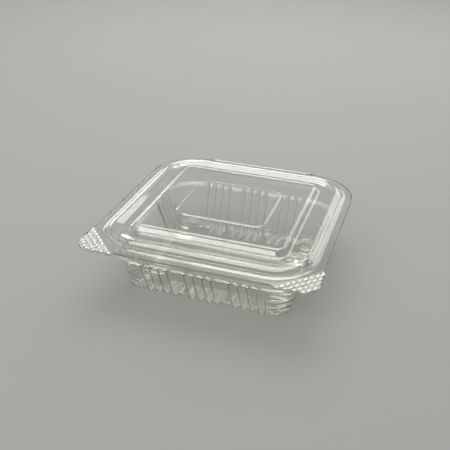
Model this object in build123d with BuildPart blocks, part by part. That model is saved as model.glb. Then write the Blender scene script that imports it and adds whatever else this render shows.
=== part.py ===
from build123d import *
import os
from math import atan, cos, degrees, radians, sin, tan

# Clear hinged food pack: a fluted tray and a stepped lid formed from one plastic
# sheet, joined by a fold along the back. Millimetres, +Z up, front at -Y.
# The origin is on the table, under the middle of the pack.

# Sheet and flange, shared by the tray and the lid
sheet = 0.4
flange_width = 134.0
flange_depth = 134.0
flange_corner = 29.0
flange_height = 38.0
flange_gap = 0.3

# Finger tabs at the two front corners of both flanges
tab_width = 23.0
tab_length = 24.0
tab_reach = 2.0
tab_side = 1.0
tab_flare = 5.0
tab_corner = 9.5
tab_step_run = 1.5

# Fold along the back
hinge_length = 72.0
hinge_reach = 2.0
fold_sides = 8

# Tray mouth and the shoulder under it
mouth_inset_side = 7.6
mouth_inset_front = 10.4
mouth_corner = 20.5
mouth_draft = 2.0
shoulder_depth = 12.0
shoulder_width = 3.8

# Undercut belly halfway down the mouth
belly_depth = 5.6
belly_out = 0.5

# Tray wall and floor
wall_draft = 19.5
floor_rise = 1.0
bottom_round = 6.0

# Flutes down the tray wall, in groups, ending on the floor
flute_pitch = 5.2
flute_group_pitch = 26.0
flutes_in_group = 4
flute_width = 3.4
flute_crest = 1.5
flute_slope = 3.4
flute_top_out = 3.3
flute_bend = 6.5
flute_root = 1.5
flute_foot = 1.0
flute_floor_length = 14.0
flute_corner_length = 7.0

# Steps round each bottom corner of the tray, outer and inner
step_heights = (10.5, 6.0)
step_outs = (0.9, 1.8)
step_reaches = (16.8, 14.4)

# Lid: rim, ledge, raised panel and the pad on it
rim_inset = 5.2
rim_run = 3.4
rim_height = 3.3
rim_top = 3.0
valley_run = 3.9
valley_drop = 1.2
panel_inset_side = 20.8
panel_inset_front = 22.0
panel_corner = 7.0
panel_run = 2.6
panel_height = 5.6
pad_width = 54.8
pad_depth = 47.8
pad_corner = 7.0
pad_height = 0.5
pad_slope = 40.0

# Places worked out from the sizes above
mouth_width = flange_width - 2 * mouth_inset_side
mouth_length = flange_depth - 2 * mouth_inset_front
shoulder_top = flange_height - shoulder_depth
shoulder_under = shoulder_top - sheet
mouth_shrink = (shoulder_depth + sheet) * tan(radians(mouth_draft))
lower_width = mouth_width - 2 * (mouth_shrink + shoulder_width)
lower_length = mouth_length - 2 * (mouth_shrink + shoulder_width)
lower_corner = mouth_corner - mouth_shrink - shoulder_width
wall_run = (shoulder_under - floor_rise) * tan(radians(wall_draft))
flute_foot_out = flute_foot - wall_run
lid_under = flange_height + flange_gap
lid_top = lid_under + sheet
hinge_outer = flange_gap / 2 + sheet
hinge_inner = flange_gap / 2
hinge_axis_y = flange_depth / 2 + hinge_reach - hinge_outer
hinge_axis_z = flange_height + flange_gap / 2


def flange_outline():
    """Outline of both flanges: large corners, with a finger tab at each front corner."""
    side = flange_width / 2
    front = -flange_depth / 2
    with BuildSketch() as outline:
        RectangleRounded(flange_width, flange_depth, flange_corner)
        with BuildLine():
            Polyline(
                (side - tab_width - tab_step_run, front + tab_reach),
                (side - tab_width + tab_step_run, front - tab_reach),
                (side + tab_side, front - tab_reach),
                (side + tab_side, front + tab_length - tab_flare),
                (side, front + tab_length),
                (side - tab_width, front + tab_length),
                close=True,
            )
        make_face()
        mirror(about=Plane.YZ)
        tab_points = outline.vertices().group_by(Axis.Y)[0].sort_by(Axis.X)
        fillet([tab_points[0], tab_points[-1]], tab_corner)
    return outline.sketch


def slope_inset(skin, angle):
    """Level distance between two faces a skin apart that lean by an angle."""
    return skin / cos(radians(angle))


def lean_inset(skin, angle):
    """Level distance from a leaning face to one a skin inside it, read a skin along the level."""
    return slope_inset(skin, angle) - skin * tan(radians(angle))


def bend(centre, radius, slope):
    """Corners of a bend with one flat round a centre, from a slope in degrees down to level."""
    turn = slope / 2
    reach = radius / cos(radians(turn / 2))
    middles = [radians(slope - turn / 2), radians(turn / 2)]
    return [(centre[0] + reach * sin(angle), centre[1] - reach * cos(angle)) for angle in middles]


def lower_wall(skin, out=0.0):
    """Tray body under the shoulder: drafted walls that bend in to the floor."""
    draft = radians(wall_draft)
    centre_level = floor_rise + bottom_round
    centre_out = ((centre_level - shoulder_under) * sin(draft) - bottom_round) / cos(draft)
    corners = [(-lean_inset(skin, wall_draft), shoulder_under + skin)]
    corners += bend((centre_out, centre_level), bottom_round - skin, 90 - wall_draft)
    with BuildPart() as body:
        for (upper, high), (lower, low) in zip(corners, corners[1:]):
            grow = upper + out
            with BuildSketch(Plane.XY.offset(high)):
                RectangleRounded(
                    lower_width + 2 * grow, lower_length + 2 * grow, lower_corner + grow
                )
            extrude(amount=low - high, taper=degrees(atan((upper - lower) / (high - low))))
    return body.part


def corner_step(skin, height, out, reach):
    """One raised step round the four bottom corners of the tray, a reach in from the wall's top edge."""
    start_x = lower_width / 2 - reach + skin
    start_y = lower_length / 2 - reach + skin
    beyond = reach + shoulder_width
    with BuildPart() as step:
        add(lower_wall(skin, out))
        with Locations((start_x, start_y, height - skin)):
            Box(beyond, beyond, height, align=(Align.MIN, Align.MIN, Align.MAX), mode=Mode.INTERSECT)
        mirror(about=Plane.XZ)
        mirror(about=Plane.YZ)
    return step.part


def flute(skin, floor_length):
    """One flute, running down a wall whose upper edge is at Y = 0, and on to the floor."""
    lean = atan((flute_top_out - flute_foot_out) / shoulder_under)
    top = shoulder_top + sheet
    start = (flute_foot_out + top * tan(lean), top)
    slope = 90 - degrees(lean)
    centre_out = flute_foot_out - flute_bend * tan(radians(slope / 2))
    half_crest = (flute_crest - skin) / 2
    half_width = flute_width / 2 - skin
    with BuildPart() as rib:
        with BuildLine(Plane.YZ):
            Polyline(
                start,
                *bend((centre_out, flute_bend), flute_bend, slope),
                (flute_foot_out - floor_length + skin, 0),
            )
        across = Plane(origin=(0, *start), x_dir=(1, 0, 0), z_dir=(0, -tan(lean), -1))
        with BuildSketch(across):
            with BuildLine():
                Polyline(
                    (-half_crest, skin),
                    (half_crest, skin),
                    (half_width, flute_slope),
                    (half_width, flute_slope + flute_root),
                    (-half_width, flute_slope + flute_root),
                    (-half_width, flute_slope),
                    close=True,
                )
            make_face()
        sweep(transition=Transition.RIGHT)
    return rib.part


def flutes(skin):
    """All flutes: three groups on the front and back walls, two on each side.

    The flutes next to a corner end early, so that those of two walls don't meet on the floor.
    """
    long_rib = flute(skin, flute_floor_length)
    short_rib = flute(skin, flute_corner_length)
    first = -(flutes_in_group - 1) / 2
    placed = []
    for group in (-flute_group_pitch, 0, flute_group_pitch):
        for index in range(flutes_in_group):
            along = group + (first + index) * flute_pitch
            rib = short_rib if abs(along) > flute_group_pitch else long_rib
            placed.append(rib.moved(Location((along, lower_length / 2, 0))))
            placed.append(rib.moved(Location((along, -lower_length / 2, 0), (0, 0, 180))))
            if group != 0:
                placed.append(rib.moved(Location((lower_width / 2, along, 0), (0, 0, -90))))
                placed.append(rib.moved(Location((-lower_width / 2, along, 0), (0, 0, 90))))
    return placed


def tray_form(skin):
    """Solid form of the tray: its outside for no skin, its hollow for a skin of one sheet."""
    belly_level = flange_height - belly_depth
    belly_angle = degrees(atan(belly_out / belly_depth))
    under_angle = degrees(atan((belly_out + mouth_shrink) / (belly_level - shoulder_under)))
    bulge = belly_out - slope_inset(skin, belly_angle)
    with BuildPart() as form:
        with BuildSketch(Plane.XY.offset(belly_level)) as belly:
            RectangleRounded(mouth_width + 2 * bulge, mouth_length + 2 * bulge, mouth_corner + bulge)
        extrude(amount=belly_depth, taper=belly_angle)
        extrude(belly.sketch, amount=shoulder_under + skin - belly_level, taper=under_angle)
        add(lower_wall(skin))
        for height, out, reach in zip(step_heights, step_outs, step_reaches):
            add(corner_step(skin, height, out, reach))
        add(flutes(skin))
    return form.part


def lid_form(skin):
    """Solid form of the lid: its outside for no skin, its hollow for a skin of one sheet."""
    rim_angle = degrees(atan(rim_run / rim_height))
    rim_level = lid_top + rim_height - skin
    rim_grow = (sheet * tan(radians(rim_angle)) - slope_inset(skin, rim_angle)) - rim_inset
    valley_inset = rim_inset + rim_run + rim_top
    valley_angle = degrees(atan(valley_run / valley_drop))
    ledge_level = rim_level - valley_drop
    panel_rise = panel_height - rim_height + valley_drop
    panel_angle = degrees(atan(panel_run / panel_rise))
    panel_in = lean_inset(skin, panel_angle)
    pad_in = lean_inset(skin, pad_slope)
    with BuildPart() as form:
        with BuildSketch(Plane.XY.offset(lid_under)):
            RectangleRounded(
                flange_width + 2 * rim_grow, flange_depth + 2 * rim_grow, flange_corner + rim_grow
            )
        extrude(amount=rim_level - lid_under, taper=rim_angle)
        with BuildSketch(Plane.XY.offset(rim_level)):
            RectangleRounded(
                flange_width - 2 * valley_inset,
                flange_depth - 2 * valley_inset,
                flange_corner - valley_inset,
            )
        extrude(amount=-valley_drop, taper=valley_angle, mode=Mode.SUBTRACT)
        with BuildSketch(Plane.XY.offset(ledge_level)):
            RectangleRounded(
                flange_width - 2 * (panel_inset_side + panel_in),
                flange_depth - 2 * (panel_inset_front + panel_in),
                panel_corner - panel_in,
            )
        extrude(amount=panel_rise, taper=panel_angle)
        with BuildSketch(Plane.XY.offset(ledge_level + panel_rise)):
            RectangleRounded(pad_width - 2 * pad_in, pad_depth - 2 * pad_in, pad_corner - pad_in)
        extrude(amount=pad_height, taper=pad_slope)
    return form.part


# Tray: fluted walls hanging from a flange
with BuildPart() as tray:
    add(tray_form(0))
    with BuildSketch(Plane.XY.offset(flange_height - sheet)):
        add(flange_outline())
    extrude(amount=sheet)
    add(tray_form(sheet), mode=Mode.SUBTRACT)

# Lid: a low rim and a raised panel inside a flange of the same outline
with BuildPart() as lid:
    add(lid_form(0))
    with BuildSketch(Plane.XY.offset(lid_under)):
        add(flange_outline())
    extrude(amount=sheet)
    add(lid_form(sheet), mode=Mode.SUBTRACT)

# Fold of the sheet behind the two flanges, turned in short flats
with BuildPart() as living_hinge:
    leg_length = hinge_axis_y - flange_depth / 2
    with BuildSketch(Plane.YZ):
        for half_height, mode in ((hinge_outer, Mode.ADD), (hinge_inner, Mode.SUBTRACT)):
            with Locations((hinge_axis_y, hinge_axis_z)):
                RegularPolygon(
                    half_height,
                    fold_sides,
                    major_radius=False,
                    rotation=180 / fold_sides,
                    mode=mode,
                )
            with Locations((hinge_axis_y - leg_length / 2, hinge_axis_z)):
                Rectangle(leg_length, 2 * half_height, mode=mode)
    extrude(amount=hinge_length / 2, both=True)

os.makedirs("parts", exist_ok=True)
tray.part.label = "tray"
export_step(tray.part, "parts/tray.step")
lid.part.label = "lid"
export_step(lid.part, "parts/lid.step")
living_hinge.part.label = "living_hinge"
export_step(living_hinge.part, "parts/living_hinge.step")
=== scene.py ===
"""Looks of a clear hinged food pack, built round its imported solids."""
from math import atan2, ceil, cos, pi, radians, sin, tan

import bmesh
import bpy
import numpy as np
from mathutils import Matrix, Vector


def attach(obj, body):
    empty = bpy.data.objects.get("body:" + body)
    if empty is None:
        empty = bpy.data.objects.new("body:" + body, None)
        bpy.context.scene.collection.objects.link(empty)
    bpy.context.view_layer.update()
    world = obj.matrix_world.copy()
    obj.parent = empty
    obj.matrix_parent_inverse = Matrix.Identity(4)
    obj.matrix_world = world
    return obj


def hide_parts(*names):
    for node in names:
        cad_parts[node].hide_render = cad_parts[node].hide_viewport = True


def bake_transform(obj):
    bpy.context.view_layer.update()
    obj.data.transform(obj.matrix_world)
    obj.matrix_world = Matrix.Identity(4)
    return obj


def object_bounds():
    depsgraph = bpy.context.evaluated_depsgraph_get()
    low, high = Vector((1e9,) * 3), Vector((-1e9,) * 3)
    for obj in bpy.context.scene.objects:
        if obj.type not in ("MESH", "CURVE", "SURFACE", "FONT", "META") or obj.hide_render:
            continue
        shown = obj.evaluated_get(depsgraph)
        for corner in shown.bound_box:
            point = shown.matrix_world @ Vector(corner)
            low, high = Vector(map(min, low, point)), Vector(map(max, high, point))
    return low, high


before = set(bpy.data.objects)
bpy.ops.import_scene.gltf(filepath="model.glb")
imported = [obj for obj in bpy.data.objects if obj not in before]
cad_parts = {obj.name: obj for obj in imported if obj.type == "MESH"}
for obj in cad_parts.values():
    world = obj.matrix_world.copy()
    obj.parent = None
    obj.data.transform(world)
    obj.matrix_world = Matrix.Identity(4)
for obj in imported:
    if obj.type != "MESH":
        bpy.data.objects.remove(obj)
cad_box = [list(corner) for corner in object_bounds()]

# Lengths of the pack and the camera are in millimetres, in the frame of the solids
MM = 0.001

# Sheet and flange
SHEET = 0.4
FLANGE_HALF = 67.0
FLANGE_CORNER = 29.0
FLANGE_LEVEL = 38.0
FLANGE_GAP = 0.3
FLANGE_UNDER = FLANGE_LEVEL - SHEET
LID_LEVEL = FLANGE_LEVEL + FLANGE_GAP + SHEET

# Finger tabs at the front corners
TAB_INNER = 44.0
TAB_STEP_RUN = 1.5
TAB_REACH = 2.0
TAB_SIDE = 1.0
TAB_LENGTH = 24.0
TAB_FLARE = 5.0
TAB_CORNER = 9.5

# Points of the outline's arcs, and the angle at which the front corner's arc is well inside the tab
FRONT_ARC_END = -70
FRONT_ARC_POINTS = 80
TAB_CORNER_POINTS = 24
BACK_CORNER_POINTS = 40

# Slack of the search for the outline along a ray
PARALLEL = 1e-9
END_SLACK = 1e-6

# Knurl of the tabs: rows of bumps, counted outwards from a line across the right-hand tab
KNURL_START = np.array([44.9, -67.3])
KNURL_END = np.array([67.4, -45.6])
KNURL_BUMPS = 9
KNURL_ROW = 3.0
KNURL_ROWS = 5
KNURL_HEIGHT = 0.8
KNURL_LEAST = 0.3
BUMP_PARTS = 4
STRIP_PARTS = 6

# Columns of the meshes, and the distance within which points are merged
COLUMNS_BEFORE_KNURL = 7
COLUMNS_AFTER_KNURL = 6
TRAY_CORNER_PARTS = 32
LID_CORNER_PARTS = 40
LID_SIDE_POINTS = 25
MERGE_GAP = 0.002

# Tray: levels, and places outwards from the mouth's outline
MOUTH_X = 59.4
MOUTH_Y = 56.6
MOUTH_CORNER = 20.5
MOUTH_LIP = 2.4
MOUTH_TOP = 0.03
BELLY_OUT = 0.5
BELLY_LEVEL = 32.4
SHOULDER_LEVEL = 25.6
SHOULDER_OUTER = -0.43
SHOULDER_INNER = -4.23
SHOULDER_DROP = 0.8
WALL_FOOT = -12.94
FLOOR_LEVEL = 1.0
FLOOR_EDGE = -18.0
FLOOR_ROWS = (-18.6, -19.0, -19.4, -20.0)
WALL_PARTS = 32

# Roundings of the tray's bends
MOUTH_ROUND = 0.9
BELLY_ROUND = 1.5
SHOULDER_ROUND = 0.9
SHOULDER_EDGE_ROUND = 0.8
BOTTOM_ROUND = 6.0
FLUTE_TOP_ROUND = 0.24
FLUTE_BEND = 6.5

# Flutes of the tray
FLUTES_IN_GROUP = 4
FLUTE_PITCH = 5.2
FLUTE_GROUP = 26.0
FLUTE_TOP = -0.93
FLUTE_FOOT = -11.94
FLUTE_LONG = 14.0
FLUTE_LONG_FADE = 0.5
FLUTE_SHORT_END = -19.0
FLUTE_SHORT_FADE = 0.4
CREST_HALF = 0.6
FLUTE_HALF = 1.9
FLUTE_LINES = (-FLUTE_HALF, -1.35, -0.8, 0.0, 0.8, 1.35, FLUTE_HALF)
LINE_GAP_LEAST = 0.2
LINE_GAP_MOST = 4.0

# Steps round the tray's bottom corners
STEP_LEVELS = (15.0, 10.5, 6.0)
STEP_STARTS_X = (36.2, 38.4, 40.8)
STEP_STARTS_Y = (35.9, 36.9, 38.0)
STEP_OUT = 0.6
STEP_RISE = 0.8
STEP_BEAD = 0.35
STEP_LINES_STOP = 0.3

# Lid: outlines of the panel and its pad
PANEL_X = 46.2
PANEL_Y = 45.0
PANEL_CORNER = 7.0
PAD_X = 27.4
PAD_Y = 23.9
PAD_CORNER = 7.0

# Lid: sections, as places inwards from an outline and rises above the flange
RIM_START = 3.6
RIM_FOOT = 5.2
RIM_OUTER = 8.6
RIM_INNER = 11.6
RIM_HEIGHT = 3.3
LEDGE_OUTER = 15.5
LEDGE_INNER = 17.4
LEDGE_HEIGHT = 2.1
PANEL_MARGIN = 1.8
PANEL_RUN = 2.6
PANEL_INNER = 6.5
PANEL_HEIGHT = 5.6
PAD_MARGIN = 2.5
PAD_RUN = 1.0
PAD_INNER = 6.5
PAD_HEIGHT = 6.1

# Roundings of the lid's bends
RIM_FOOT_ROUND = 3.4
RIM_OUTER_ROUND = 5.6
RIM_INNER_ROUND = 3.0
LEDGE_ROUND = 3.0
PANEL_FOOT_ROUND = 1.6
PANEL_ROUND = 2.6
PANEL_ROUND_STEPS = 8
PAD_ROUND = 0.8

# Fold behind the flanges
HINGE_LENGTH = 72.0
HINGE_AXIS_Y = 68.45
HINGE_AXIS_Z = FLANGE_LEVEL + FLANGE_GAP / 2
HINGE_OUTER = FLANGE_GAP / 2 + SHEET
HINGE_COLUMNS = 25
HINGE_TURN_POINTS = 25

# Clear polyester, and its cut edges, whose pale tones are painted light
PLASTIC_IOR = 1.57
SHEET_TINT = (0.975, 0.98, 0.96, 1)
SHADOW_TINT = (0.93, 0.935, 0.92, 1)
# Painted light: the pale tones of the cut edges stand in for the light that runs inside the sheet and comes
# out at the cut
EDGE_GLOW_DARK = (0.66, 0.67, 0.62, 1)
EDGE_GLOW_LIGHT = (0.86, 0.87, 0.81, 1)

# Floor, background and lamps, in metres
FLOOR_HALF = 1.3
FLOOR_FADE_START = 0.45
FLOOR_FADE_END = 1.2
FLOOR_COLOUR = (0.42, 0.42, 0.415, 1)
WORLD_LIGHT = (0.14, 0.14, 0.14, 1)
WORLD_SEEN = (0.37, 0.37, 0.365, 1)
LAMP_COLOUR = (1.0, 0.985, 0.94)
LAMP_AIM = Vector((0, 0, 0.03))

# Camera at the photograph's viewing angle
CAMERA_AZIMUTH = radians(18.54)
CAMERA_ELEVATION = radians(29.6)
CAMERA_ROLL = radians(0.72)
CAMERA_DISTANCE = 419.8
CAMERA_RIGHT = -2.54
CAMERA_UP = 25.11
CAMERA_LENS = 53.07
CAMERA_CLIP = 10.0
SENSOR = 36.0

# Sides of a sheet in the order of its columns, each followed by the corner at its end
FRONT, RIGHT, BACK, LEFT = range(4)


def smooth(low, high, value):
    """Rises from 0 at low to 1 at high with soft ends."""
    share = np.clip((np.asarray(value, float) - low) / (high - low), 0, 1)
    return share * share * (3 - 2 * share)


def rounded(points, steps=5):
    """Points along a path of (x, z, radius) corners, with each corner rounded into the same number of steps.

    Runs between corners are split into the number of parts given as a fourth value of their end.
    """
    path = [np.array(points[0][:2], float)]
    for before, corner, after in zip(points, points[1:], points[2:]):
        here = np.array(corner[:2], float)
        back = np.array(before[:2], float) - here
        ahead = np.array(after[:2], float) - here
        back /= np.linalg.norm(back)
        ahead /= np.linalg.norm(ahead)
        half = np.arccos(np.clip(back @ ahead, -1, 1)) / 2
        reach = corner[2] / tan(half)
        start = here + back * reach
        middle = (back + ahead) / np.linalg.norm(back + ahead)
        centre = here + middle * corner[2] / sin(half)
        first = start - centre
        last = here + ahead * reach - centre
        parts = corner[3] if len(corner) > 3 else 1
        origin = path[-1]
        for index in range(1, parts):
            path.append(origin + (start - origin) * index / parts)
        turn = atan2(first[0] * last[1] - first[1] * last[0], first @ last)
        for index in range(steps + 1):
            angle = turn * index / steps
            path.append(centre + np.array([
                first[0] * cos(angle) - first[1] * sin(angle),
                first[0] * sin(angle) + first[1] * cos(angle),
            ]))
    end = np.array(points[-1][:2], float)
    parts = points[-1][3] if len(points[-1]) > 3 else 1
    origin = path[-1]
    for index in range(1, parts + 1):
        path.append(origin + (end - origin) * index / parts)
    return np.array(path)


def arc(centre, radius, first, last, count):
    """Points of an arc from a first to a last angle in degrees."""
    angles = np.radians(np.linspace(first, last, count))
    return [(centre[0] + radius * cos(a), centre[1] + radius * sin(a)) for a in angles]


def flange_outline():
    """Closed outline of both flanges, with the tabs at the front corners."""
    inner = FLANGE_HALF - FLANGE_CORNER
    front = -FLANGE_HALF
    side = FLANGE_HALF + TAB_SIDE
    tab_front = front - TAB_REACH
    front_arc = arc((inner, -inner), FLANGE_CORNER, -90, FRONT_ARC_END, FRONT_ARC_POINTS)
    half = [point for point in front_arc if point[0] < TAB_INNER]
    half += [(TAB_INNER + TAB_STEP_RUN, tab_front)]
    half += arc((side - TAB_CORNER, tab_front + TAB_CORNER), TAB_CORNER, -90, 0, TAB_CORNER_POINTS)
    half += [(side, front + TAB_LENGTH - TAB_FLARE), (FLANGE_HALF, front + TAB_LENGTH)]
    half += arc((inner, inner), FLANGE_CORNER, 0, 90, BACK_CORNER_POINTS)
    mirrored = [(-x, y) for x, y in reversed(half)]
    return np.array(half + mirrored)


OUTLINE = flange_outline()


def cast(origins, directions):
    """Distance from each origin along its direction to the flange's outline."""
    step = np.roll(OUTLINE, -1, axis=0) - OUTLINE
    reach = np.zeros(len(origins))
    for index, (point, ray) in enumerate(zip(origins, directions)):
        gap = OUTLINE - point
        cross = ray[0] * step[:, 1] - ray[1] * step[:, 0]
        cross = np.where(np.abs(cross) < PARALLEL, PARALLEL, cross)
        along = (gap[:, 0] * step[:, 1] - gap[:, 1] * step[:, 0]) / cross
        share = (gap[:, 0] * ray[1] - gap[:, 1] * ray[0]) / cross
        hits = along[(share >= -END_SLACK) & (share <= 1 + END_SLACK) & (along > 0)]
        reach[index] = hits.max(initial=0)
    return reach


def tab_turns(inner_x, inner_y):
    """Columns round the right front corner, as angles and places along the knurl's line, or no place."""
    count = KNURL_BUMPS * BUMP_PARTS
    places = range(count + 1)
    line = [KNURL_START + (KNURL_END - KNURL_START) * place / count for place in places]
    angles = [np.degrees(atan2(y + inner_y, x - inner_x)) for x, y in line]
    before = [(angle, None) for angle in np.linspace(-90, angles[0], COLUMNS_BEFORE_KNURL)[1:-1]]
    after = [(angle, None) for angle in np.linspace(angles[-1], 0, COLUMNS_AFTER_KNURL)[1:-1]]
    return before + list(zip(angles, places)) + after


class Columns:
    """Columns of a sheet round a rounded rectangle, from the left end of its front and back to it."""

    def __init__(self, across, along, front_turns, back_count):
        self.across = np.array(across)
        self.along = np.array(along)
        back_turns = [(90 * step / back_count, None) for step in range(1, back_count)]
        turns = (
            front_turns,
            back_turns,
            [(90 + angle, place) for angle, place in back_turns],
            [(180 - angle, place) for angle, place in reversed(front_turns)],
        )
        sides = (self.across, self.along, self.across[::-1], self.along[::-1])
        self.kind = []
        for side, (shares, corner) in enumerate(zip(sides, turns)):
            self.kind += [(side, float(share), None, None) for share in shares]
            self.kind += [(side, None, angle, place) for angle, place in corner]
        self.count = len(self.kind)

    def bases(self, half_x, half_y):
        """Straight columns' feet on an inner rectangle, corner columns' centres, and outward normals."""
        corners = ((1, -1), (1, 1), (-1, 1), (-1, -1))
        base = np.zeros((self.count, 2))
        normal = np.zeros((self.count, 2))
        for number, (side, share, angle, place) in enumerate(self.kind):
            if angle is None:
                angle = -90 + 90 * side
                if side in (FRONT, BACK):
                    base[number] = (share * half_x, half_y * (-1 if side == FRONT else 1))
                else:
                    base[number] = (half_x * (1 if side == RIGHT else -1), share * half_y)
            else:
                base[number] = (corners[side][0] * half_x, corners[side][1] * half_y)
            normal[number] = (cos(radians(angle)), sin(radians(angle)))
        return base, normal

    def rectangle(self):
        """For each column, the place of its foot in the grid that fills the inner rectangle."""
        wide = len(self.across)
        deep = len(self.along)
        places = []
        for side, share, angle, place in self.kind:
            if angle is not None:
                i = wide - 1 if side in (FRONT, RIGHT) else 0
                j = deep - 1 if side in (RIGHT, BACK) else 0
            elif side in (FRONT, BACK):
                i = int(np.argmin(np.abs(self.across - share)))
                j = 0 if side == FRONT else deep - 1
            else:
                i = wide - 1 if side == RIGHT else 0
                j = int(np.argmin(np.abs(self.along - share)))
            places.append((i, j))
        return places

    def straight(self, sides):
        """Which columns stand on the straight runs of the given sides."""
        return np.array([angle is None and side in sides for side, share, angle, place in self.kind])


def flange_rows(columns, base, normal, inner, level):
    """Rows of the flange from its outline in to a ring, with the bumps of the knurl in its tabs."""
    ring = base + normal * inner
    foot = base + normal * cast(base, normal)[:, None]
    line = KNURL_END - KNURL_START
    outward = np.array([line[1], -line[0]]) / np.linalg.norm(line)
    rays = np.zeros((columns.count, 2))
    wave = np.zeros(columns.count)
    in_tab = []
    for number, (side, share, angle, place) in enumerate(columns.kind):
        if place is None:
            continue
        mirrored = np.array([1 if side == FRONT else -1, 1])
        foot[number] = (KNURL_START + line * place / (KNURL_BUMPS * BUMP_PARTS)) * mirrored
        rays[number] = outward * mirrored
        wave[number] = abs(sin(pi * place / BUMP_PARTS))
        in_tab.append(number)
    depth = np.zeros(columns.count)
    depth[in_tab] = cast(foot[in_tab], rays[in_tab])
    depth[depth < KNURL_LEAST] = 0
    rows = []
    for part in range(KNURL_ROWS * BUMP_PARTS, -1, -1):
        away = np.minimum(part * KNURL_ROW / BUMP_PARTS, depth)
        rise = KNURL_HEIGHT * wave * np.abs(np.sin(pi * away / KNURL_ROW))
        rows.append(np.column_stack([foot + rays * away[:, None], level + rise]))
    for part in range(STRIP_PARTS - 1, 0, -1):
        flat = ring + (foot - ring) * part / STRIP_PARTS
        rows.append(np.column_stack([flat, np.full(columns.count, level)]))
    return rows


def sheet_mesh(name, rows, columns, fill):
    """Joins rings of points by quads and fills the last ring by a grid."""
    count = columns.count
    points = np.concatenate(rows)
    faces = []
    for row in range(len(rows) - 1):
        for column in range(count):
            ahead = (column + 1) % count
            a = row * count
            faces.append((a + column, a + count + column, a + count + ahead, a + ahead))
    first = len(points)
    deep = fill.shape[1]
    points = np.concatenate([points, fill.reshape(-1, 3)])
    places = [first + i * deep + j for i, j in columns.rectangle()]
    last = (len(rows) - 1) * count
    for column in range(count):
        ahead = (column + 1) % count
        corner = [last + column, places[column], places[ahead], last + ahead]
        faces.append(tuple(dict.fromkeys(corner)))
    for i in range(fill.shape[0] - 1):
        for j in range(deep - 1):
            a = first + i * deep + j
            faces.append((a, a + 1, a + deep + 1, a + deep))
    mesh = bpy.data.meshes.new(name)
    mesh.from_pydata((points * MM).tolist(), [], faces)
    return mesh


def close_up(mesh):
    """Merges the points that fall together where rows of the knurl run out at the flange's edge."""
    work = bmesh.new()
    work.from_mesh(mesh)
    bmesh.ops.remove_doubles(work, verts=work.verts, dist=MERGE_GAP * MM)
    loose = [edge for edge in work.edges if not edge.link_faces]
    bmesh.ops.delete(work, geom=loose, context="EDGES")
    work.to_mesh(mesh)
    work.free()


def add_piece(name, mesh):
    """Makes a closed piece one sheet thick from its outer surface, inside the box of the solids."""
    mesh.materials.append(plastic)
    # The rim faces between the two sides of the sheet get the cut edge's material, painted pale for the
    # light inside the sheet
    mesh.materials.append(cut_edge)
    piece = bpy.data.objects.new(name, mesh)
    bpy.context.scene.collection.objects.link(piece)
    solid = piece.modifiers.new("sheet", "SOLIDIFY")
    solid.thickness = SHEET * MM
    solid.offset = -1
    solid.use_even_offset = True
    solid.material_offset_rim = 1
    graph = bpy.context.evaluated_depsgraph_get()
    closed = bpy.data.meshes.new_from_object(piece.evaluated_get(graph))
    piece.modifiers.clear()
    piece.data = closed
    closed.name = name
    points = np.empty(len(closed.vertices) * 3)
    closed.vertices.foreach_get("co", points)
    points = np.clip(points.reshape(-1, 3), cad_box[0], cad_box[1])
    closed.vertices.foreach_set("co", points.ravel())
    closed.shade_smooth()
    return piece


def clear_plastic():
    """Clear polyester sheet: glossy, faintly warm and green, with the slight waves that forming leaves."""
    material = bpy.data.materials.new("clear_sheet")
    material.use_nodes = True
    nodes = material.node_tree.nodes
    links = material.node_tree.links
    shader = nodes["Principled BSDF"]
    shader.inputs["Base Color"].default_value = SHEET_TINT
    shader.inputs["Transmission Weight"].default_value = 1
    shader.inputs["IOR"].default_value = PLASTIC_IOR
    place = nodes.new("ShaderNodeTexCoord")
    waves = nodes.new("ShaderNodeTexNoise")
    waves.inputs["Scale"].default_value = 90
    waves.inputs["Detail"].default_value = 0
    links.new(place.outputs["Object"], waves.inputs["Vector"])
    haze = nodes.new("ShaderNodeMapRange")
    haze.inputs["To Min"].default_value = 0.02
    haze.inputs["To Max"].default_value = 0.05
    links.new(waves.outputs["Fac"], haze.inputs["Value"])
    links.new(haze.outputs["Result"], shader.inputs["Roughness"])
    bump = nodes.new("ShaderNodeBump")
    bump.inputs["Strength"].default_value = 0.02
    bump.inputs["Distance"].default_value = 0.0001
    links.new(waves.outputs["Fac"], bump.inputs["Height"])
    links.new(bump.outputs["Normal"], shader.inputs["Normal"])
    see_through = nodes.new("ShaderNodeBsdfTransparent")
    see_through.inputs["Color"].default_value = SHADOW_TINT
    path = nodes.new("ShaderNodeLightPath")
    mix = nodes.new("ShaderNodeMixShader")
    links.new(path.outputs["Is Shadow Ray"], mix.inputs[0])
    links.new(shader.outputs[0], mix.inputs[1])
    links.new(see_through.outputs[0], mix.inputs[2])
    links.new(mix.outputs[0], nodes["Material Output"].inputs["Surface"])
    return material


def edge_plastic():
    """The same sheet where it was cut: an opaque rough edge whose pale colour is painted light, standing in
    for the light that runs inside the sheet and comes out at the cut, with a tone that varies at random.
    """
    material = bpy.data.materials.new("cut_edge")
    material.use_nodes = True
    nodes = material.node_tree.nodes
    links = material.node_tree.links
    shader = nodes["Principled BSDF"]
    shader.inputs["IOR"].default_value = PLASTIC_IOR
    shader.inputs["Roughness"].default_value = 0.45
    place = nodes.new("ShaderNodeTexCoord")
    marks = nodes.new("ShaderNodeTexNoise")
    marks.inputs["Scale"].default_value = 400
    links.new(place.outputs["Object"], marks.inputs["Vector"])
    tone = nodes.new("ShaderNodeValToRGB")
    tone.color_ramp.elements[0].color = EDGE_GLOW_DARK
    tone.color_ramp.elements[1].color = EDGE_GLOW_LIGHT
    links.new(marks.outputs["Fac"], tone.inputs["Fac"])
    links.new(tone.outputs["Color"], shader.inputs["Base Color"])
    return material


def flute_centres(groups):
    """Places of the flutes along a wall."""
    middle = (FLUTES_IN_GROUP - 1) / 2
    return [g * FLUTE_GROUP + (i - middle) * FLUTE_PITCH for g in groups for i in range(FLUTES_IN_GROUP)]


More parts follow.
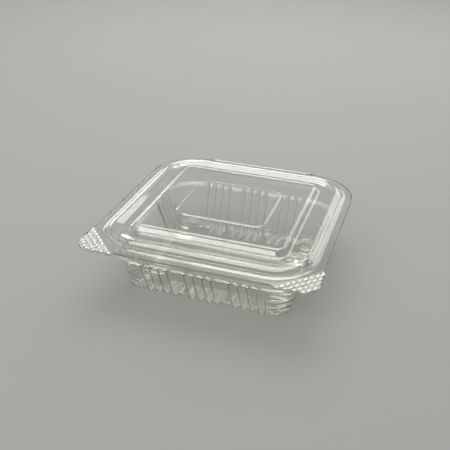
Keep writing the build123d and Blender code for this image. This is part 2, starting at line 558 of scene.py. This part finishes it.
def flute_lines(centres, half, extra):
    """Lines of a grid along a wall: those that the flutes need, evened out between them."""
    both = [side * line for line in extra for side in (-1, 1)]
    lines = sorted([c + d for c in centres for d in FLUTE_LINES] + both + [-half, half])
    full = [lines[0]]
    for line in lines[1:]:
        gap = line - full[-1]
        if gap < LINE_GAP_LEAST:
            continue
        parts = ceil(gap / LINE_GAP_MOST)
        start = full[-1]
        full += [start + gap * k / parts for k in range(1, parts + 1)]
    return np.array(full)


def flute_share(centres, place):
    """How much of a flute's depth there is at places along a wall: 1 on a crest and 0 between flutes."""
    away = np.min(np.abs(np.asarray(place)[:, None] - np.array(centres)[None, :]), axis=1)
    return 1 - smooth(CREST_HALF, FLUTE_HALF, away)


def step_out(flat, level):
    """How far the stepped corners stand out at places of a wall, with a rib along each step's edge."""
    out = np.zeros(len(flat))
    for step_level, start_x, start_y in zip(STEP_LEVELS, STEP_STARTS_X, STEP_STARTS_Y):
        inside = np.minimum(np.abs(flat[:, 0]) - start_x, np.abs(flat[:, 1]) - start_y)
        inside = np.minimum(inside, step_level - level)
        out += STEP_OUT * smooth(0, STEP_RISE, inside)
        out += STEP_BEAD * np.exp(-((inside / STEP_RISE - 1) ** 2))
    return out


def wall_paths():
    """Sections of the tray from the flange to the floor, between flutes and along a flute's crest."""
    mouth = [
        (MOUTH_LIP, FLANGE_UNDER),
        (MOUTH_TOP, FLANGE_UNDER, MOUTH_ROUND),
        (BELLY_OUT, BELLY_LEVEL, BELLY_ROUND, 2),
    ]
    gap_path = rounded(mouth + [
        (SHOULDER_OUTER, SHOULDER_LEVEL, SHOULDER_ROUND, 3),
        (SHOULDER_INNER, SHOULDER_LEVEL - SHOULDER_DROP, SHOULDER_EDGE_ROUND, 2),
        (WALL_FOOT, FLOOR_LEVEL, BOTTOM_ROUND, WALL_PARTS),
        (FLOOR_EDGE, FLOOR_LEVEL, 0, 2),
    ])
    crest_path = rounded(mouth + [
        (SHOULDER_OUTER, SHOULDER_LEVEL, FLUTE_TOP_ROUND, 3),
        (FLUTE_TOP, SHOULDER_LEVEL, FLUTE_TOP_ROUND, 2),
        (FLUTE_FOOT, 0.0, FLUTE_BEND, WALL_PARTS),
        (FLOOR_EDGE, 0.0, 0, 2),
    ])
    return gap_path, crest_path


def tray_surface():
    """Outer surface of the tray, from the flange's edge down to the middle of its floor."""
    inner_x = MOUTH_X - MOUTH_CORNER
    inner_y = MOUTH_Y - MOUTH_CORNER
    long_y = MOUTH_Y + FLUTE_FOOT - FLUTE_LONG
    long_x = MOUTH_X + FLUTE_FOOT - FLUTE_LONG
    fade_x = (long_x - FLUTE_LONG_FADE, long_x + FLUTE_LONG_FADE)
    fade_y = (long_y - FLUTE_LONG_FADE, long_y + FLUTE_LONG_FADE)
    fade_short = (FLUTE_SHORT_END - FLUTE_SHORT_FADE, FLUTE_SHORT_END + FLUTE_SHORT_FADE)
    front_flutes = flute_centres((-1, 0, 1))
    side_flutes = flute_centres((-1, 1))
    step_lines = tuple(np.arange(STEP_STARTS_X[0], inner_x - STEP_LINES_STOP, STEP_RISE / 2))
    across = flute_lines(front_flutes, inner_x, step_lines)
    along = flute_lines(side_flutes, inner_y, fade_y)
    columns = Columns(across / inner_x, along / inner_y, tab_turns(inner_x, inner_y), TRAY_CORNER_PARTS)
    base, normal = columns.bases(inner_x, inner_y)
    is_front = columns.straight((FRONT, BACK))
    is_side = columns.straight((RIGHT, LEFT))
    weight = np.where(is_front, flute_share(front_flutes, base[:, 0]), 0.0)
    weight = np.where(is_side, flute_share(side_flutes, base[:, 1]), weight)
    spot = np.where(is_front, np.abs(base[:, 0]), np.abs(base[:, 1]))
    is_short = (spot > FLUTE_GROUP) & (is_front | is_side)

    rows = flange_rows(columns, base, normal, MOUTH_CORNER + MOUTH_LIP, FLANGE_UNDER)
    for gap, crest in zip(*wall_paths()):
        out = gap[0] + (crest[0] - gap[0]) * weight
        level = gap[1] + (crest[1] - gap[1]) * weight
        flat = base + normal * (MOUTH_CORNER + gap[0])
        out = out + step_out(flat, gap[1])
        rows.append(np.column_stack([base + normal * (MOUTH_CORNER + out)[:, None], level]))
    for out in FLOOR_ROWS:
        groove = weight * np.where(is_short, smooth(*fade_short, out), 1.0)
        rows.append(np.column_stack([base + normal * (MOUTH_CORNER + out), FLOOR_LEVEL * (1 - groove)]))

    grid_x, grid_y = np.meshgrid(across, along, indexing="ij")
    front_depth = flute_share(front_flutes, across)[:, None] * (np.abs(across) < FLUTE_GROUP)[:, None]
    front_depth = front_depth * smooth(*fade_y, np.abs(along))[None, :]
    side_depth = flute_share(side_flutes, along)[None, :] * (np.abs(along) < FLUTE_GROUP)[None, :]
    side_depth = side_depth * smooth(*fade_x, np.abs(across))[:, None]
    fill = np.stack([grid_x, grid_y, FLOOR_LEVEL * (1 - np.maximum(front_depth, side_depth))], axis=2)
    return sheet_mesh("tray_sheet", rows, columns, fill)


def lid_rows(columns, half_x, half_y, corner, path):
    """Rows that follow a path of (out, rise) round a rounded rectangle of the lid."""
    base, normal = columns.bases(half_x - corner, half_y - corner)
    rows = []
    for out, rise in path:
        flat = base + normal * (corner + out)
        rows.append(np.column_stack([flat, np.full(columns.count, LID_LEVEL + rise)]))
    return rows


def lid_surface():
    """Upper surface of the lid, from the flange's edge up to the middle of its panel."""
    spread = np.linspace(-1, 1, LID_SIDE_POINTS)
    inner = FLANGE_HALF - FLANGE_CORNER
    columns = Columns(spread, spread, tab_turns(inner, inner), LID_CORNER_PARTS)
    rim_path = rounded([
        (-RIM_START, 0),
        (-RIM_FOOT, 0, RIM_FOOT_ROUND),
        (-RIM_OUTER, RIM_HEIGHT, RIM_OUTER_ROUND, 3),
        (-RIM_INNER, RIM_HEIGHT, RIM_INNER_ROUND, 1),
        (-LEDGE_OUTER, LEDGE_HEIGHT, LEDGE_ROUND, 3),
        (-LEDGE_INNER, LEDGE_HEIGHT, 0, 2),
    ])
    panel_path = rounded([
        (PANEL_MARGIN, LEDGE_HEIGHT),
        (0, LEDGE_HEIGHT, PANEL_FOOT_ROUND, 2),
        (-PANEL_RUN, PANEL_HEIGHT, PANEL_ROUND, 4),
        (-PANEL_INNER, PANEL_HEIGHT, 0, 4),
    ], PANEL_ROUND_STEPS)
    pad_path = rounded([
        (PAD_MARGIN, PANEL_HEIGHT),
        (0, PANEL_HEIGHT, PAD_ROUND, 2),
        (-PAD_RUN, PAD_HEIGHT, PAD_ROUND),
        (-PAD_INNER, PAD_HEIGHT, 0, 3),
    ])
    base, normal = columns.bases(inner, inner)
    rows = flange_rows(columns, base, normal, FLANGE_CORNER + rim_path[0][0], LID_LEVEL)
    rows += lid_rows(columns, FLANGE_HALF, FLANGE_HALF, FLANGE_CORNER, rim_path)
    rows += lid_rows(columns, PANEL_X, PANEL_Y, PANEL_CORNER, panel_path)
    rows += lid_rows(columns, PAD_X, PAD_Y, PAD_CORNER, pad_path)
    grid_x, grid_y = np.meshgrid(
        spread * (PAD_X - PAD_CORNER), spread * (PAD_Y - PAD_CORNER), indexing="ij"
    )
    fill = np.stack([grid_x, grid_y, np.full(grid_x.shape, LID_LEVEL + pad_path[-1][1])], axis=2)
    return sheet_mesh("lid_sheet", rows, columns, fill)


def hinge_surface():
    """Outer surface of the fold that joins the two flanges behind."""
    low = HINGE_AXIS_Z - HINGE_OUTER
    high = HINGE_AXIS_Z + HINGE_OUTER
    path = [(FLANGE_HALF, low)]
    path += arc((HINGE_AXIS_Y, HINGE_AXIS_Z), HINGE_OUTER, -90, 90, HINGE_TURN_POINTS)
    path += [(FLANGE_HALF, high)]
    points = []
    for x in np.linspace(-HINGE_LENGTH / 2, HINGE_LENGTH / 2, HINGE_COLUMNS):
        points += [(x * MM, y * MM, z * MM) for y, z in path]
    count = len(path)
    faces = []
    for a in range(0, len(points) - count, count):
        faces += [(a + k, a + k + 1, a + count + k + 1, a + count + k) for k in range(count - 1)]
    mesh = bpy.data.meshes.new("hinge_fold")
    mesh.from_pydata(points, [], faces)
    return mesh


def pale_floor():
    """Pale grey floor that fades into the background away from the pack."""
    material = bpy.data.materials.new("floor")
    material.use_nodes = True
    nodes = material.node_tree.nodes
    links = material.node_tree.links
    paint = nodes["Principled BSDF"]
    paint.inputs["Base Color"].default_value = FLOOR_COLOUR
    paint.inputs["Roughness"].default_value = 0.9
    place = nodes.new("ShaderNodeTexCoord")
    away = nodes.new("ShaderNodeVectorMath")
    away.operation = "LENGTH"
    links.new(place.outputs["Object"], away.inputs[0])
    fade = nodes.new("ShaderNodeMapRange")
    fade.interpolation_type = "SMOOTHSTEP"
    fade.inputs["From Min"].default_value = FLOOR_FADE_START
    fade.inputs["From Max"].default_value = FLOOR_FADE_END
    links.new(away.outputs["Value"], fade.inputs["Value"])
    beyond = nodes.new("ShaderNodeBsdfTransparent")
    mix = nodes.new("ShaderNodeMixShader")
    links.new(fade.outputs["Result"], mix.inputs[0])
    links.new(paint.outputs[0], mix.inputs[1])
    links.new(beyond.outputs[0], mix.inputs[2])
    links.new(mix.outputs[0], nodes["Material Output"].inputs["Surface"])
    return material


def studio_world():
    """Dim light all round, behind which camera, reflections and clear sheet see a pale background."""
    world = bpy.data.worlds.new("studio")
    world.use_nodes = True
    nodes = world.node_tree.nodes
    links = world.node_tree.links
    light = nodes["Background"]
    light.inputs["Color"].default_value = WORLD_LIGHT
    seen = nodes.new("ShaderNodeBackground")
    seen.inputs["Color"].default_value = WORLD_SEEN
    path = nodes.new("ShaderNodeLightPath")
    share = path.outputs["Is Camera Ray"]
    for ray in ("Is Glossy Ray", "Is Transmission Ray"):
        either = nodes.new("ShaderNodeMath")
        either.operation = "MAXIMUM"
        links.new(share, either.inputs[0])
        links.new(path.outputs[ray], either.inputs[1])
        share = either.outputs[0]
    mix = nodes.new("ShaderNodeMixShader")
    links.new(share, mix.inputs[0])
    links.new(light.outputs[0], mix.inputs[1])
    links.new(seen.outputs[0], mix.inputs[2])
    links.new(mix.outputs[0], nodes["World Output"].inputs["Surface"])
    return world


def softbox(name, place, width, height, brightness, upright=(0, 0, 1)):
    """A soft studio lamp at a place, facing the pack, with its power worked out from its brightness."""
    data = bpy.data.lights.new(name, "AREA")
    data.shape = "RECTANGLE"
    data.size = width
    data.size_y = height
    data.energy = brightness * pi * width * height
    data.color = LAMP_COLOUR
    lamp = bpy.data.objects.new(name, data)
    lamp.location = place
    aim = (LAMP_AIM - Vector(place)).normalized()
    across = aim.cross(Vector(upright)).normalized()
    lamp.rotation_euler = Matrix((across, across.cross(aim), -aim)).transposed().to_euler()
    bpy.context.scene.collection.objects.link(lamp)


def add_camera():
    """The camera that sees the pack as the photograph does."""
    back = Vector((
        sin(CAMERA_AZIMUTH) * cos(CAMERA_ELEVATION),
        -cos(CAMERA_AZIMUTH) * cos(CAMERA_ELEVATION),
        sin(CAMERA_ELEVATION),
    ))
    level = Vector((cos(CAMERA_AZIMUTH), sin(CAMERA_AZIMUTH), 0))
    upright = back.cross(level)
    right = level * cos(CAMERA_ROLL) + upright * sin(CAMERA_ROLL)
    up = upright * cos(CAMERA_ROLL) - level * sin(CAMERA_ROLL)
    spot = (right * CAMERA_RIGHT + up * CAMERA_UP + back * CAMERA_DISTANCE) * MM
    data = bpy.data.cameras.new("camera")
    data.lens = CAMERA_LENS
    data.sensor_width = SENSOR
    data.clip_start = CAMERA_CLIP * MM
    camera = bpy.data.objects.new("camera", data)
    turn = Matrix((right, up, back)).transposed().to_4x4()
    camera.matrix_world = Matrix.Translation(spot) @ turn
    bpy.context.scene.collection.objects.link(camera)
    bpy.context.scene.camera = camera


# Pieces of the pack
plastic = clear_plastic()
cut_edge = edge_plastic()

tray_mesh = tray_surface()
close_up(tray_mesh)
tray = add_piece("tray_sheet", tray_mesh)
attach(tray, "tray")
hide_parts("tray")

lid_mesh = lid_surface()
lid_mesh.flip_normals()
close_up(lid_mesh)
lid = add_piece("lid_sheet", lid_mesh)
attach(lid, "lid")
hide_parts("lid")

hinge = add_piece("hinge_fold", hinge_surface())
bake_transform(hinge)
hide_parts("living_hinge")

# Floor and background
floor_mesh = bpy.data.meshes.new("floor")
floor_corners = [(x * FLOOR_HALF, y * FLOOR_HALF, 0) for x, y in ((-1, -1), (1, -1), (1, 1), (-1, 1))]
floor_mesh.from_pydata(floor_corners, [], [(0, 1, 2, 3)])
floor_mesh.materials.append(pale_floor())
floor = bpy.data.objects.new("floor", floor_mesh)
bpy.context.scene.collection.objects.link(floor)
bpy.context.scene.world = studio_world()

# Soft studio lamps
softbox("overhead_box", (-0.12, 0.35, 1.2), width=0.95, height=1.2, brightness=3.2, upright=(0, 1, 0))
softbox("back_box", (0.45, 1.0, 0.5), width=0.9, height=0.6, brightness=1.4)
softbox("high_back_box", (-0.18, 0.9, 0.82), width=0.45, height=0.16, brightness=2.2)
softbox("low_back_box", (-0.33, 1.14, 0.17), width=0.6, height=0.16, brightness=4)
softbox("left_box", (-0.78, 0.86, 0.3), width=0.4, height=0.3, brightness=2.5)
softbox("front_box", (-0.33, -0.85, 0.8), width=0.9, height=0.25, brightness=5)

add_camera()
bpy.context.scene.view_settings.view_transform = "Standard"

# Lamps reach the floor straight through the clear sheet, so light bent by it isn't counted again
bpy.context.scene.cycles.caustics_reflective = False
bpy.context.scene.cycles.caustics_refractive = False
